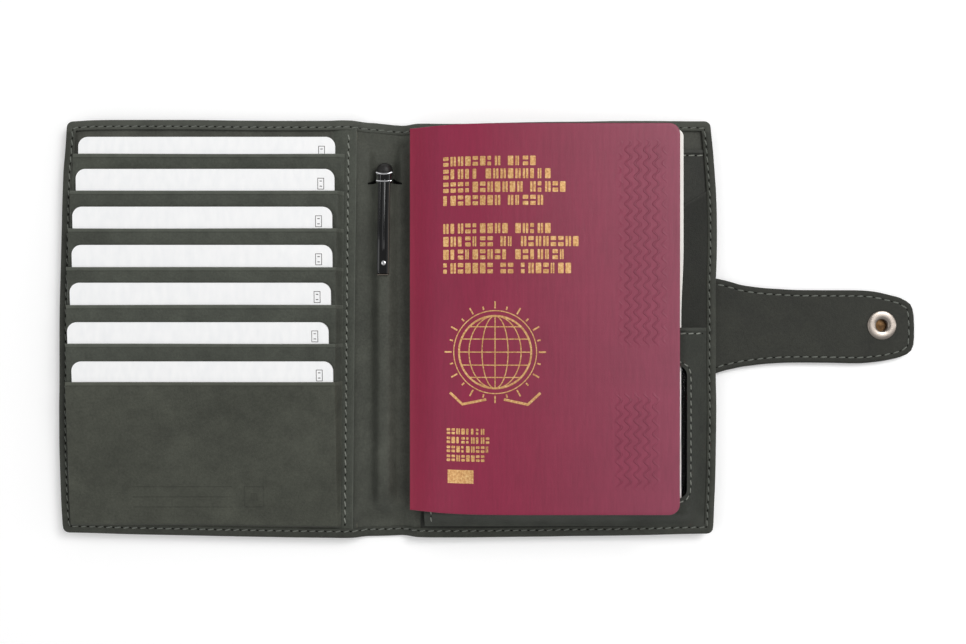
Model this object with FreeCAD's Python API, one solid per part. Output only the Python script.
import FreeCAD, Part
import math
import os

# Leather passport holder, lying open and flat with its inside facing up.
# Frame: +X to the right, +Y towards the top edge, +Z up out of the open pages.
# Origin: middle of the spine's outer face, the face that the open holder rests on (z = 0).
# Millimetres. Every *_Z pair is (lower face, upper face).

V = FreeCAD.Vector
os.makedirs("parts", exist_ok=True)

# ---------------------------------------------------------------- driving dimensions
RIGHT, LEFT = 1, -1      # side of the spine, also the sign of x there

LEFT_X = -108.5          # outermost point of the left cover's bowed edge
RIGHT_X = 110.6          # outermost point of the right cover's bowed edge
TOP_Y = 69.2             # top edge of both covers
BOTTOM_Y = -69.1         # bottom edge of both covers
SIDE_BOW = 2.2           # how far each side edge bows out at mid height
CORNER_R = 2.2
BORDER_W = 3.3           # width of the turned leather border
STITCH_IN = 2.35         # border stitch line, measured in from the outer edge
CREASE = 8.5             # the two creases run at x = -CREASE and x = +CREASE

# Cover layers, from the outside of the holder upwards
COVER_Z0 = 2.6           # outer face of each cover
LEATHER_T = 0.9
BOARD_Z = (3.52, 4.10)
FOIL_Z = (4.12, 4.20)
LINING_Z = (4.22, 4.60)
NOTE_Z = (4.65, 5.00)
BOARDING_Z = (5.05, 5.40)
LIP_Z = (5.45, 5.80)     # turned-over border
PANEL_INSET = 1.1        # lining and pocket panels, in from the cover's outline

THREAD_W = 0.5           # border thread
FINE_W = 0.4             # thread of the other seams
THREAD_T = 0.14
FLAT_T = 0.05            # flatter thread, where there is little room
THREAD_GAP = 0.02        # thread lies this far off the leather

STRAP_Z = (1.00, 2.58)
STRAP_BEND_1 = 112.2     # x of the strap's bend beside the cover edge
STRAP_SPAN = 24.6        # strap length between its two bends
STRAP_BEND_2 = STRAP_BEND_1 + STRAP_SPAN
SNAP_X = 166.7
SNAP_Y = 1.2
# The stud is as far inside bend 1 as the snap is beyond bend 2, on the other cover
STUD_X = -(STRAP_BEND_1 - (SNAP_X - STRAP_BEND_2))


# ---------------------------------------------------------------- helpers
# Cutting tools run well past the shape they cut.
def box(x0, x1, y0, y1, z0, z1):
    return Part.makeBox(x1 - x0, y1 - y0, z1 - z0, V(x0, y0, z0))


def side_box(side, x_a, x_b, y0, y1, z0, z1):
    """Box between two distances from the spine centre, on either side."""
    x0, x1 = sorted((side * x_a, side * x_b))
    return box(x0, x1, y0, y1, z0, z1)


def upright(radius, x, y, z, height):
    """Cylinder standing along +Z."""
    return Part.makeCylinder(radius, height, V(x, y, z))


def polygon_face(points):
    """Closed polygon through (x, y) points, in the plane z = 0."""
    corners = [V(x, y, 0) for x, y in points]
    return Part.Face(Part.makePolygon(corners + [corners[0]]))


def rounded_face(x0, x1, y0, y1, radius):
    """Rectangle with rounded corners, in the plane z = 0."""
    corners = [   # centre x, centre y, start angle of the arc
        (x1 - radius, y0 + radius, -90),
        (x1 - radius, y1 - radius, 0),
        (x0 + radius, y1 - radius, 90),
        (x0 + radius, y0 + radius, 180),
    ]
    arcs = []
    for x, y, start in corners:
        angles = [math.radians(start + turn) for turn in (0, 45, 90)]
        arcs.append([V(x + radius * math.cos(a), y + radius * math.sin(a), 0) for a in angles])
    edges = []
    for i, arc in enumerate(arcs):
        edges.append(Part.makeLine(arcs[i - 1][2], arc[0]))
        edges.append(Part.Arc(*arc).toShape())
    return Part.Face(Part.Wire(edges))


def plate(face, z0, z1):
    base = face.copy()
    base.translate(V(0, 0, z0))
    return base.extrude(V(0, 0, z1 - z0))


def clean(shape):
    """The single solid of a boolean result, or a compound if there are several."""
    merged = shape.removeSplitter() if len(shape.Solids) == 1 else shape
    if len(merged.Solids) == 1:
        return merged.Solids[0]
    return Part.makeCompound(merged.Solids)


def save(name, shape):
    assert shape.isValid(), name
    assert len(shape.Solids) >= 1, name
    shape.exportStep("parts/%s.step" % name)


# ---------------------------------------------------------------- cover outline
def cover_face(side, inset=0.0, overrun=30.0):
    """Outline of one cover: straight top and bottom, bowed outer side, rounded outer corners.
    overrun is how far the outline runs past the spine centre."""
    outer_x = RIGHT_X if side == RIGHT else LEFT_X
    bow_x = outer_x - side * inset
    y0, y1 = BOTTOM_Y + inset, TOP_Y - inset
    inner_x = -side * overrun
    corner_r = max(CORNER_R - inset, 0.25)
    mid_y = (y0 + y1) / 2
    half = (y1 - y0) / 2
    bow_r = (half ** 2 + SIDE_BOW ** 2) / (2 * SIDE_BOW)
    bow_cx = bow_x - side * bow_r

    def corner(edge_y, up):
        """Start, middle and end of a corner arc, from the straight edge to the bowed one."""
        cy = edge_y - up * corner_r
        cx = bow_cx + side * math.sqrt((bow_r - corner_r) ** 2 - (cy - mid_y) ** 2)
        centre = V(cx, cy, 0)
        on_line = V(cx, edge_y, 0)
        outward = V(cx - bow_cx, cy - mid_y, 0)
        outward.normalize()
        on_bow = centre + outward * corner_r
        middle = (on_line + on_bow) * 0.5 - centre
        middle.normalize()
        return on_line, centre + middle * corner_r, on_bow

    top_line, top_mid, top_bow = corner(y1, 1)
    low_line, low_mid, low_bow = corner(y0, -1)
    return Part.Face(Part.Wire([
        Part.makeLine(V(inner_x, y0, 0), low_line),
        Part.Arc(low_line, low_mid, low_bow).toShape(),
        Part.Arc(low_bow, V(bow_x, mid_y, 0), top_bow).toShape(),
        Part.Arc(top_bow, top_mid, top_line).toShape(),
        Part.makeLine(top_line, V(inner_x, y1, 0)),
        Part.makeLine(V(inner_x, y1, 0), V(inner_x, y0, 0)),
    ]))


def trim_spine_side(shape, side, distance):
    """Keep only what lies further than distance from the spine centre."""
    return shape.cut(side_box(side, -60, distance, -100, 100, -5, 40))


def cover_layer(side, heights, inset, crease_gap):
    return trim_spine_side(plate(cover_face(side, inset), *heights), side, CREASE + crease_gap)


# ---------------------------------------------------------------- the two covers
def outer_leather(side):
    """Bottom skin, upright edge and turned-over border, in one piece of leather."""
    body = plate(cover_face(side), COVER_Z0, LIP_Z[1])
    body = body.cut(plate(cover_face(side, LEATHER_T, 40), COVER_Z0 + LEATHER_T, LIP_Z[0]))
    body = body.cut(plate(cover_face(side, BORDER_W, 40), LIP_Z[0] - 0.1, LIP_Z[1] + 1))
    # The skin runs to the crease; the border stops short of it to leave the fold free
    body = trim_spine_side(body, side, CREASE + 0.1)
    skin_top = COVER_Z0 + LEATHER_T
    return body.cut(side_box(side, CREASE - 1, CREASE + 1.05, -80, 80, skin_top, 20))


def edge_thread(side):
    z = LIP_Z[1] + THREAD_GAP
    outside = cover_face(side, STITCH_IN - THREAD_W / 2, 40)
    inside = cover_face(side, STITCH_IN + THREAD_W / 2, 50)
    run = plate(outside, z, z + THREAD_T).cut(plate(inside, z - 1, z + 2))
    return trim_spine_side(run, side, CREASE + 1.3)


def cover(side, name):
    leather = outer_leather(side)
    board = cover_layer(side, BOARD_Z, inset=1.6, crease_gap=0.8)
    if side == LEFT:
        # Room for the snap post and its flange
        leather = leather.cut(upright(1.15, STUD_X, SNAP_Y, 1, 2.52))
        board = board.cut(upright(4.5, STUD_X, SNAP_Y, 3, 2))
    foil = cover_layer(side, FOIL_Z, inset=2.2, crease_gap=1.2)
    lining = cover_layer(side, LINING_Z, PANEL_INSET, crease_gap=0.5)
    save("outer_leather_" + name, clean(leather))
    save(name + "_board", clean(board))
    save(name + "_rfid_foil", clean(foil))
    save(name + "_lining", clean(lining))
    save(name + "_edge_stitching", clean(edge_thread(side)))


# ---------------------------------------------------------------- right cover pockets
NOTE_TOP = 59.8
BOARDING_X = (CREASE + 1, 112.0)     # ends of the curved top edge


def note_pocket():
    """Full-width panel, open along its top edge, with a seam below that edge."""
    panel = cover_layer(RIGHT, NOTE_Z, PANEL_INSET, crease_gap=2.0)
    panel = panel.cut(box(-60, 160, NOTE_TOP, 100, 0, 20))
    save("note_pocket_panel", clean(panel))
    z = NOTE_Z[1] + THREAD_GAP
    seam_y = NOTE_TOP - 2.0
    seam = box(12.5, 106.0, seam_y, seam_y + FINE_W, z, z + THREAD_T)
    save("note_pocket_stitching", seam)


def boarding_pocket():
    """Panel whose top edge is a shallow curve, lowest in the middle."""
    panel = cover_layer(RIGHT, BOARDING_Z, PANEL_INSET, crease_gap=2.4)
    x0, x1 = BOARDING_X
    start, end = V(x0, 46.6, 0), V(x1, 47.6, 0)
    above = Part.Face(Part.Wire([
        Part.Arc(start, V(59.5, 31.0, 0), end).toShape(),
        Part.makeLine(end, V(x1, 90, 0)),
        Part.makeLine(V(x1, 90, 0), V(x0, 90, 0)),
        Part.makeLine(V(x0, 90, 0), start),
    ]))
    save("boarding_pocket_panel", clean(panel.cut(plate(above, 0, 20))))


# ---------------------------------------------------------------- passport pocket
POCKET_Z = (8.60, 9.30)              # panel over the passport pages
POCKET_X = (13.3, 104.9)
POCKET_Y = (-65.3, 0.5)
POCKET_WALL = 0.7
WINDOW = (23.0, 99.9, -55.7, -12.2)  # ID window opening: x0, x1, y0, y1
FILM_MARGIN = 3.4                    # film recess beyond the opening


def window_face(grow, radius):
    x0, x1, y0, y1 = WINDOW
    return rounded_face(x0 - grow, x1 + grow, y0 - grow, y1 + grow, radius)


def passport_pocket():
    """Panel closed along its right and bottom edges, open at the top and the left."""
    x0, x1 = POCKET_X
    y0, y1 = POCKET_Y
    under, over = POCKET_Z
    panel = box(x0, x1, y0, y1, BOARDING_Z[1] + 0.02, over)
    panel = panel.cut(box(x0 - 1, x1 - POCKET_WALL, y0 + POCKET_WALL, y1 + 1, 0, under))
    panel = panel.cut(plate(window_face(0, 3.0), under - 1, over + 1))
    panel = panel.cut(plate(window_face(FILM_MARGIN, 1.5), under - 0.1, under + 0.2))
    save("passport_pocket_panel", clean(panel))
    film = plate(window_face(FILM_MARGIN - 0.1, 1.4), under + 0.02, under + 0.17)
    save("id_window_film", clean(film))


def passport_pocket_stitching():
    """One seam below the top edge and down the left edge, another round the window."""
    x0, x1 = POCKET_X
    y0, y1 = POCKET_Y
    z0 = POCKET_Z[1] + THREAD_GAP
    z1 = z0 + FLAT_T
    seam_x = x0 + 2.0
    seam_y = y1 - 1.9
    seam = box(seam_x, x1 - 1.0, seam_y - FINE_W, seam_y, z0, z1)
    seam = seam.fuse(box(seam_x, seam_x + FINE_W, y0 + 1.0, seam_y, z0, z1))
    save("passport_pocket_stitching", clean(seam))
    ring = plate(window_face(1.35, 4.2), z0, z1)
    ring = ring.cut(plate(window_face(1.05, 3.9), z0 - 1, z0 + 1))
    save("window_stitching", clean(ring))


# ---------------------------------------------------------------- cards and their pockets
CARD_W = 85.6            # card, ID-1 format
CARD_H = 54.0
CARD_T = 0.76
CARD_R = 3.18
CARD_RIGHT = -16.5
CARD_VISIBLE = 6.2       # how much of each card stands out of its pocket
CARD_POCKET_T = 0.36
CARD_POCKET_X = (-102.9, -14.6)
CARD_PITCH = 1.24        # card, pocket panel and their gaps
CARDS = [                # top edge y, tilt in degrees, sideways shift
    (64.0, 0.0, 0.0),
    (53.0, 2.0, 0.1),
    (40.4, 3.4, -0.4),
    (27.8, 4.4, -0.2),
    (15.4, 5.0, -0.6),
    (2.5, 5.4, -1.3),
    (-10.3, 5.7, 0.2),
]


def card_heights():
    """Height of each card's lower edge, clear of the tilted card before it."""
    heights = [LINING_Z[1] + 0.05]
    for (previous_top, _, _), (top, tilt, _) in zip(CARDS, CARDS[1:]):
        drop = (previous_top - top) * math.tan(math.radians(tilt))
        heights.append(heights[-1] + CARD_PITCH - drop)
    return heights


def cards_and_pockets():
    x0, x1 = CARD_POCKET_X
    for number, ((top, tilt, shift), z) in enumerate(zip(CARDS, card_heights()), 1):
        bottom = top - CARD_H
        hinge = V(0, bottom, z)
        right = CARD_RIGHT + shift
        card = plate(rounded_face(right - CARD_W, right, bottom, top, CARD_R), z, z + CARD_T)
        card.rotate(hinge, V(1, 0, 0), tilt)
        save("card_%d" % number, clean(card))
        # Sheet parallel to its card, closed along the bottom by a foot on the lining
        leaf_z = z + CARD_T + 0.04
        leaf = box(x0, x1, bottom - 1.1, top - CARD_VISIBLE, leaf_z, leaf_z + CARD_POCKET_T)
        leaf.rotate(hinge, V(1, 0, 0), tilt)
        foot = box(x0, x1, bottom - 1.05, bottom - 0.35, LINING_Z[1] + 0.02, z + CARD_T + 0.25)
        save("card_pocket_%d" % number, clean(leaf.fuse(foot)))


STRIP_Z1 = 5.4
STRIP_LEAN = 0.7         # the strip's top end lies this far right of its bottom end


def leaning_face(x, width, y0, y1):
    """Narrow upright band; x is its lower left corner."""
    right = x + width
    return polygon_face([(x, y0), (right, y0), (right + STRIP_LEAN, y1), (x + STRIP_LEAN, y1)])


def pocket_seam_strip():
    """Strip along the spine side of the card pockets, with its seam."""
    strip = plate(leaning_face(-13.9, 3.2, -65.2, 65.3), LINING_Z[1] + 0.03, STRIP_Z1)
    save("pocket_seam_strip", clean(strip))
    z = STRIP_Z1 + THREAD_GAP
    seam = plate(leaning_face(-12.75, FINE_W, -64.5, 64.6), z, z + THREAD_T)
    save("card_strip_stitching", clean(seam))


# ---------------------------------------------------------------- snap
def stud_cylinder(radius, z, height):
    return upright(radius, STUD_X, SNAP_Y, z, height)


def snap_cylinder(radius, z, height):
    return upright(radius, SNAP_X, SNAP_Y, z, height)


def snap_stud():
    """Hollow stud on the left cover's outside, with a head at its lower end."""
    stud = stud_cylinder(4.6, 2.22, 0.36)
    stud = stud.fuse(stud_cylinder(1.55, 1.2, 1.2))
    head = Part.makeCone(1.55, 1.9, 0.35, V(STUD_X, SNAP_Y, 0.4))
    head = head.fuse(stud_cylinder(1.9, 0.75, 0.6))
    stud = stud.fuse(head).cut(stud_cylinder(1.05, 0.9, 3))
    save("snap_stud", clean(stud))


def snap_post():
    """Post through the left cover's leather, with a flange in the board."""
    post = stud_cylinder(1.0, 1.0, 2.6).fuse(stud_cylinder(4.2, 3.53, 0.45))
    save("snap_post", clean(post))


def snap_cap():
    """Shallow dome on the strap's outer face."""
    dome_r = 19.9
    dome = Part.makeSphere(dome_r, V(SNAP_X, SNAP_Y, dome_r))
    save("snap_cap", clean(dome.common(snap_cylinder(6.2, 0, 0.98))))


def snap_socket_and_spring():
    """Flanged socket through the strap, grooved inside for the ring spring."""
    ring_r = 2.12
    ring_centre = V(SNAP_X, SNAP_Y, 2.2)
    socket = snap_cylinder(4.8, 2.60, 0.38)
    socket = socket.fuse(snap_cylinder(2.55, 1.15, 1.5)).cut(snap_cylinder(2.0, 0, 10))
    socket = socket.cut(Part.makeTorus(ring_r, 0.2, ring_centre))
    save("snap_socket", clean(socket))
    save("snap_spring", Part.makeTorus(ring_r, 0.13, ring_centre))


# ---------------------------------------------------------------- spine
SPINE_HALF = CREASE - 1.0
SPINE_Y0, SPINE_Y1 = BOTTOM_Y + 0.3, TOP_Y - 0.9
SPINE_LIP_Z = (1.38, 1.74)


def spine_box(inset, z0, z1, half_width=SPINE_HALF):
    return box(-half_width, half_width, SPINE_Y0 + inset, SPINE_Y1 - inset, z0, z1)


def spine():
    """Leather turned over at its top and bottom ends, round a lining."""
    leather = spine_box(0, 0, SPINE_LIP_Z[1])
    leather = leather.cut(spine_box(LEATHER_T, LEATHER_T, SPINE_LIP_Z[0], half_width=20))
    leather = leather.cut(spine_box(BORDER_W, LEATHER_T, 20, half_width=20))
    save("outer_leather_spine", clean(leather))
    save("spine_lining", spine_box(1.0, 0.95, 1.35))
    z = SPINE_LIP_Z[1] + THREAD_GAP
    half = THREAD_W / 2
    seams = [
        box(-SPINE_HALF, SPINE_HALF, y - half, y + half, z, z + THREAD_T)
        for y in (SPINE_Y1 - STITCH_IN, SPINE_Y0 + STITCH_IN)
    ]
    save("spine_stitching", Part.makeCompound(seams))


# ---------------------------------------------------------------- pen and its sleeve
PEN_Z = 5.0              # pen axis height over the spine
PEN_R = 2.8
PEN_BORE_R = 1.7
PEN_TOP = 55.3
PEN_BOTTOM = -50.0
BARREL_Y0 = -44.0
COLLAR_Y0, COLLAR_Y1 = 48.45, 51.5
COLLAR_RIM = 0.6         # length of the rim at each end of the collar
CROWN_Y0, CROWN_BASE_Y = 44.0, 51.56
DOME = [                 # y, radius
    (CROWN_BASE_Y, 2.75), (53.0, 2.75), (53.8, 2.48), (54.4, 2.03),
    (54.85, 1.45), (55.15, 0.85), (PEN_TOP, 0.35),
]
SLEEVE_R = 3.45
SLEEVE_Y0, SLEEVE_Y1 = -54.2, 48.3
SLEEVE_Z0 = 1.4
CLIP_Z = (8.70, 9.30)
RIVET_Y = 21.8


def pen_cylinder(radius, y, length):
    """Cylinder on the pen axis, from y towards the top edge."""
    return Part.makeCylinder(radius, length, V(0, y, PEN_Z), V(0, 1, 0))


def pen_sleeve():
    """Leather arch over the pen, closed at its lower end, with a flange to each side."""
    sleeve = pen_cylinder(SLEEVE_R, SLEEVE_Y0, SLEEVE_Y1 - SLEEVE_Y0)
    sleeve = sleeve.fuse(box(-SLEEVE_R, SLEEVE_R, SLEEVE_Y0, SLEEVE_Y1, SLEEVE_Z0, PEN_Z))
    sleeve = sleeve.fuse(box(-SPINE_HALF, SPINE_HALF, SLEEVE_Y0, SLEEVE_Y1, SLEEVE_Z0, 1.85))
    sleeve = sleeve.cut(pen_cylinder(PEN_R + 0.08, SLEEVE_Y0 + 0.9, 200))
    save("pen_sleeve", clean(sleeve))


def pen_barrel():
    barrel = pen_cylinder(PEN_R, BARREL_Y0, 92.4).cut(pen_cylinder(PEN_BORE_R, -50, 120))
    save("pen_barrel", clean(barrel))


def pen_tip():
    length = BARREL_Y0 - PEN_BOTTOM - 0.04
    tip = Part.makeCone(0.95, PEN_R, length, V(0, PEN_BOTTOM, PEN_Z), V(0, 1, 0))
    save("pen_tip", clean(tip.cut(pen_cylinder(0.6, -60, 20))))


def pen_collar():
    bore = pen_cylinder(PEN_BORE_R, 40, 20)
    collar = pen_cylinder(2.9, COLLAR_Y0, COLLAR_Y1 - COLLAR_Y0).cut(bore)
    for y in (COLLAR_Y0, COLLAR_Y1 - COLLAR_RIM):
        collar = collar.fuse(pen_cylinder(3.05, y, COLLAR_RIM).cut(bore))
    save("pen_collar", clean(collar))


def pen_crown():
    """Domed end that twists, with a stub down into the barrel."""
    stub_r = 1.6
    profile = [(0, CROWN_Y0), (stub_r, CROWN_Y0), (stub_r, CROWN_BASE_Y)]
    profile += [(radius, y) for y, radius in DOME]
    profile.append((0, PEN_TOP))
    crown = polygon_face(profile).revolve(V(0, 0, 0), V(0, 1, 0), 360)
    crown.translate(V(0, 0, PEN_Z))
    save("pen_crown", clean(crown))


def pen_refill():
    refill = pen_cylinder(1.5, -40.4, 83.9).fuse(pen_cylinder(0.5, -49.2, 10.0))
    save("pen_refill", clean(refill))


def pen_clip():
    """Sprung strip over the sleeve, hooked into the collar, with a rivet near its free end."""
    clip = plate(rounded_face(-2.05, 2.05, 17.9, 51.2, 0.6), *CLIP_Z)
    clip = clip.fuse(box(-1.3, 1.3, 49.2, 50.8, 7.98, CLIP_Z[0] + 0.1))
    clip = clip.cut(upright(0.62, 0, RIVET_Y, 5, 10))
    save("pen_clip", clean(clip))
    rivet = upright(0.58, 0, RIVET_Y, 8.6, 0.8)
    rivet = rivet.fuse(upright(0.95, 0, RIVET_Y, CLIP_Z[1] + 0.02, 0.25))
    save("pen_clip_rivet", clean(rivet))


# ---------------------------------------------------------------- strap
STRAP_ROOT_X = 84.0
STRAP_EDGES = [          # x, top edge y, bottom edge y
    (110.0, 17.1, -15.2), (113.7, 16.4, -14.1), (116.4, 15.7, -13.5),
    (119.1, 14.9, -12.9), (121.8, 14.4, -12.5), (127.1, 13.75, -11.85),
    (132.5, 13.4, -11.5), (137.9, 13.1, -11.25), (150.0, 13.0, -11.2),
    (159.3, 12.9, -11.3), (164.7, 12.4, -10.9), (167.4, 11.8, -10.4),
]
STRAP_NOSE = [           # x, y round the free end, from top to bottom
    (170.0, 11.0), (172.7, 10.1), (175.2, 8.5), (176.8, 5.9), (177.4, 0.7),
    (176.8, -4.5), (175.2, -7.2), (172.7, -8.9), (170.0, -9.8),
]
ROOT_END_X, ROOT_TOP, ROOT_BOTTOM = STRAP_EDGES[0]   # the root's edges are straight up to here


def strap_curve():
    """Free outline of the strap: out along the top edge, round the nose and back."""
    points = [(x, top) for x, top, _ in STRAP_EDGES] + STRAP_NOSE
    points += [(x, bottom) for x, _, bottom in reversed(STRAP_EDGES)]
    curve = Part.BSplineCurve()
    curve.interpolate([V(x, y, 0) for x, y in points])
    return curve


def strap_face():
    top_left, low_left = V(STRAP_ROOT_X, ROOT_TOP, 0), V(STRAP_ROOT_X, ROOT_BOTTOM, 0)
    return Part.Face(Part.Wire([
        strap_curve().toShape(),
        Part.makeLine(V(ROOT_END_X, ROOT_BOTTOM, 0), low_left),
        Part.makeLine(low_left, top_left),
        Part.makeLine(top_left, V(ROOT_END_X, ROOT_TOP, 0)),
    ]))


def strap_leather():
    """Outer (lower) and inner (upper) leather, each split in three at the bends."""
    face = strap_face()
    middle_z = (STRAP_Z[0] + STRAP_Z[1]) / 2
    hole = snap_cylinder(2.65, 0, 10)
    layers = [           # name, z0, z1, gap on each side of a bend
        ("outer", STRAP_Z[0], middle_z - 0.01, 0.06),
        ("inner", middle_z + 0.01, STRAP_Z[1], 0.85),
    ]
    for name, z0, z1, gap in layers:
        sheet = plate(face, z0, z1)
        sections = [
            ("root", 80, STRAP_BEND_1 - gap),
            ("bridge", STRAP_BEND_1 + gap, STRAP_BEND_2 - gap),
            ("tab", STRAP_BEND_2 + gap, 200),
        ]
        for section, x0, x1 in sections:
            piece = sheet.common(box(x0, x1, -50, 50, -5, 20))
            if section == "tab":
                piece = piece.cut(hole)
            save("strap_%s_%s" % (section, name), clean(piece))


def strap_root_stitching():
    """Three-sided seam under the root."""
    z1 = STRAP_Z[0] - THREAD_GAP
    z0 = z1 - FLAT_T
    x0, x1 = STRAP_ROOT_X + 2.0, 108.0
    y0, y1 = ROOT_BOTTOM + 2.0, ROOT_TOP - 2.0
    seam = box(x0, x0 + FINE_W, y0, y1, z0, z1)
    seam = seam.fuse(box(x0, x1, y1 - FINE_W, y1, z0, z1))
    seam = seam.fuse(box(x0, x1, y0, y0 + FINE_W, z0, z1))
    save("strap_root_stitching", clean(seam))


def strap_tab_stitching():
    """Seam on the tab's inner leather, a constant distance in from its outline."""
    curve = strap_curve()
    steps = 160
    seam_in = 1.35
    outer, inner = [], []
    for n in range(steps + 1):
        at = curve.FirstParameter + (curve.LastParameter - curve.FirstParameter) * n / steps
        point = curve.value(at)
        tangent = curve.tangent(at)[0]
        inward = V(tangent.y, -tangent.x, 0)
        inward.normalize()
        if point.x > STRAP_BEND_2 + 1.1:
            outer.append(point + inward * seam_in)
            inner.append(point + inward * (seam_in + FINE_W))
    loop = outer + inner[::-1]
    z = STRAP_Z[1] + THREAD_GAP
    face = Part.Face(Part.makePolygon(loop + [loop[0]]))
    save("strap_stitching", plate(face, z, z + THREAD_T))


# ---------------------------------------------------------------- passport booklet
PASSPORT_X0 = 8.7        # its spine edge
PASSPORT_X1 = PASSPORT_X0 + 88.0     # ID-3 format
PASSPORT_Y0 = -59.6
PASSPORT_Y1 = PASSPORT_Y0 + 125.0
PASSPORT_R = 3.2
BACK_Z = (6.00, 6.40)
PAGES_Z = (6.42, 8.50)
FRONT_Z = (9.40, 9.90)


def booklet_sheet(heights, spine_in=0.0, side_in=0.0, end_in=0.0, square_w=4):
    """Sheet with rounded outer corners and square ones along its spine edge.
    spine_in, side_in and end_in set it in from the booklet's edges."""
    x0, x1 = PASSPORT_X0, PASSPORT_X1 - side_in
    y0, y1 = PASSPORT_Y0 + end_in, PASSPORT_Y1 - end_in
    square_x = x0 + square_w
    sheet = plate(rounded_face(x0 + end_in, x1, y0, y1, PASSPORT_R), *heights)
    sheet = sheet.cut(box(x0 - 1, square_x, PASSPORT_Y0 - 1, PASSPORT_Y1 + 1, 0, 20))
    return sheet.fuse(box(x0 + spine_in, square_x, y0, y1, *heights))


def passport():
    back = booklet_sheet(BACK_Z)
    # The booklet's own spine rises from the back cover
    back = back.fuse(box(PASSPORT_X0, PASSPORT_X0 + 0.45, PASSPORT_Y0, PASSPORT_Y1,
                         BACK_Z[0], FRONT_Z[0] - 0.1))
    save("passport_back_cover", clean(back))
    pages = booklet_sheet(PAGES_Z, spine_in=0.5, side_in=0.2, end_in=0.5, square_w=5)
    save("passport_pages", clean(pages))
    save("passport_front_cover", clean(booklet_sheet(FRONT_Z, spine_in=0.05)))


# ---------------------------------------------------------------- build
cover(RIGHT, "right")
cover(LEFT, "left")
note_pocket()
boarding_pocket()
passport_pocket()
passport_pocket_stitching()
cards_and_pockets()
pocket_seam_strip()
snap_stud()
snap_post()
snap_cap()
snap_socket_and_spring()
spine()
pen_sleeve()
pen_barrel()
pen_tip()
pen_collar()
pen_crown()
pen_refill()
pen_clip()
strap_leather()
strap_root_stitching()
strap_tab_stitching()
passport()
